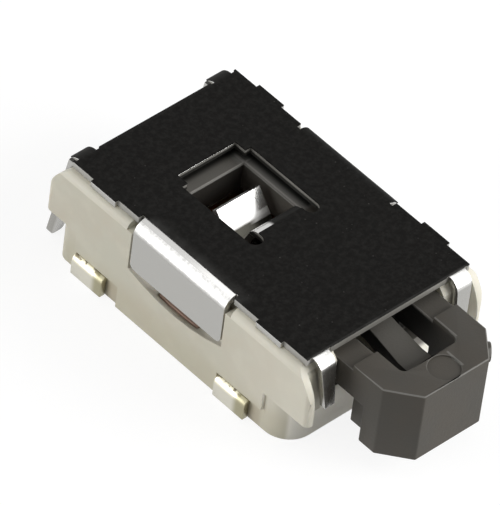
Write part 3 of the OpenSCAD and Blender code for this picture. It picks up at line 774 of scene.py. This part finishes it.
class SWITCH_OT_dome(bpy.types.Operator):
    """Dress the snap dome, its film and the pusher"""
    bl_idname = "switch.dome"
    bl_label = "Dome and Pusher"

    def execute(self, context):
        look = context.scene.switch_look
        dress(frame["nodes"]["snap_dome"], spring_steel(look))
        dress(frame["nodes"]["dome_film"], amber_film(look))
        dress(frame["nodes"]["pusher"], pale_resin(look))
        return {"FINISHED"}


def soft_lamp(name, direction, distance, width, level):
    """A square soft lamp aimed at the switch; level is the light on a face turned to it."""
    lamp = bpy.data.lights.new(name, "AREA")
    lamp.shape = "SQUARE"
    lamp.size = width
    lamp.energy = level * math.pi * math.pi * distance * distance
    thing = bpy.data.objects.new(name, lamp)
    bpy.context.scene.collection.objects.link(thing)
    thing.location = Vector(direction).normalized() * distance
    thing.rotation_mode = "QUATERNION"
    towards = Vector(LAMP_TARGET) - thing.location
    thing.rotation_quaternion = towards.to_track_quat("-Z", "Y")


def light_world():
    """A white room for the eye and for gloss, and an even grey light on the rest."""
    world = bpy.data.worlds.new("studio")
    bpy.context.scene.world = world
    board = Board(world)
    room = board.node("ShaderNodeBackground", None, {"Color": WHITE, "Strength": ROOM_LEVEL})
    white = board.node("ShaderNodeBackground", None, {"Color": WHITE, "Strength": 1.0})
    both = board.node("ShaderNodeMixShader", None,
                      {0: seen_ray(board), 1: room.out(), 2: white.out()})
    board.node("ShaderNodeOutputWorld", None, {"Surface": both.out()})


def floor_material():
    """A pale floor that keeps a soft shadow and reads as white."""
    board = material_board("pale_floor")
    matt = board.node("ShaderNodeBsdfDiffuse", None, {"Color": FLOOR_MATT})
    thin = board.node("ShaderNodeBsdfDiffuse", None, {"Color": FLOOR_THIN})
    glow = board.node("ShaderNodeEmission", None, {"Color": WHITE, "Strength": FLOOR_GLOW})
    shown = board.node("ShaderNodeAddShader", None, {0: thin.out(), 1: glow.out()})
    both = board.node("ShaderNodeMixShader", None,
                      {0: seen_ray(board), 1: matt.out(), 2: shown.out()})
    board.node("ShaderNodeOutputMaterial", None, {"Surface": both.out()})
    return board.owner


def lay_floor(width):
    """The floor, a hair under the terminals."""
    bm = bmesh.new()
    bmesh.ops.create_grid(bm, x_segments=1, y_segments=1, size=width / 2)
    bmesh.ops.translate(bm, vec=(0, 0, -FLOOR_DROP), verts=bm.verts)
    mesh = bpy.data.meshes.new("floor")
    bm.to_mesh(mesh)
    bm.free()
    floor = bpy.data.objects.new("floor", mesh)
    bpy.context.scene.collection.objects.link(floor)
    dress(floor, floor_material())


def place_camera():
    """The camera, above the corner between the button and the left side."""
    turn, tilt, roll = (math.radians(v) for v in (CAMERA_TURN, CAMERA_RAISE, CAMERA_ROLL))
    side = Vector((math.cos(turn), math.sin(turn), 0))
    up = Vector((-math.sin(turn) * math.sin(tilt), math.cos(turn) * math.sin(tilt),
                 math.cos(tilt)))
    back = Vector((math.sin(turn) * math.cos(tilt), -math.cos(turn) * math.cos(tilt),
                   math.sin(tilt)))
    place = (CAMERA_SIDE * side + CAMERA_UP * up + CAMERA_BACK * back
             - Vector((0, 0, CAMERA_DROP))) * MM
    right = math.cos(roll) * side - math.sin(roll) * up
    above = math.sin(roll) * side + math.cos(roll) * up
    data = bpy.data.cameras.new("camera")
    data.sensor_width = SENSOR_WIDTH
    data.lens = FOCAL_PIXELS * SENSOR_WIDTH / FRAME_PIXELS
    data.clip_start, data.clip_end = 0.01, 10
    camera = bpy.data.objects.new("camera", data)
    bpy.context.scene.collection.objects.link(camera)
    turned = Matrix((right, above, back)).transposed().to_4x4()
    camera.matrix_world = Matrix.Translation(place) @ turned
    bpy.context.scene.camera = camera


class SWITCH_OT_stage(bpy.types.Operator):
    """Set up the floor, the soft lamps, the white room and the camera"""
    bl_idname = "switch.stage"
    bl_label = "Stage"

    def execute(self, context):
        lay_floor(context.scene.switch_sizes.floor_size)
        for name, direction, distance, width, level in LAMPS:
            soft_lamp(name, direction, distance, width,
                      level * context.scene.switch_look.lamp_level)
        light_world()
        place_camera()
        return {"FINISHED"}


class SWITCH_PT_panel(bpy.types.Panel):
    """The pieces of the switch, with their sizes and colours"""
    bl_idname = "SWITCH_PT_panel"
    bl_label = "Tactile Switch"
    bl_space_type = "VIEW_3D"
    bl_region_type = "UI"
    bl_category = "Switch"

    def draw(self, context):
        for group in (context.scene.switch_sizes, context.scene.switch_look):
            for name in group.__annotations__:
                self.layout.prop(group, name)
        for step in STEPS:
            self.layout.operator(step.bl_idname)


STEPS = (SWITCH_OT_housing, SWITCH_OT_cover, SWITCH_OT_top_film, SWITCH_OT_button,
         SWITCH_OT_contacts, SWITCH_OT_dome, SWITCH_OT_stage)
CLASSES = (SwitchSizes, SwitchLook, *STEPS, SWITCH_PT_panel)


def register():
    for cls in CLASSES:
        bpy.utils.register_class(cls)
    bpy.types.Scene.switch_sizes = PointerProperty(type=SwitchSizes)
    bpy.types.Scene.switch_look = PointerProperty(type=SwitchLook)


def unregister():
    del bpy.types.Scene.switch_look
    del bpy.types.Scene.switch_sizes
    for cls in reversed(CLASSES):
        bpy.utils.unregister_class(cls)


def main():
    register()
    bpy.context.scene.view_settings.view_transform = "Standard"
    bpy.ops.switch.housing()
    bpy.ops.switch.cover()
    bpy.ops.switch.top_film()
    bpy.ops.switch.button()
    bpy.ops.switch.contacts()
    bpy.ops.switch.dome()
    bpy.ops.switch.stage()


if __name__ == "__main__":
    main()
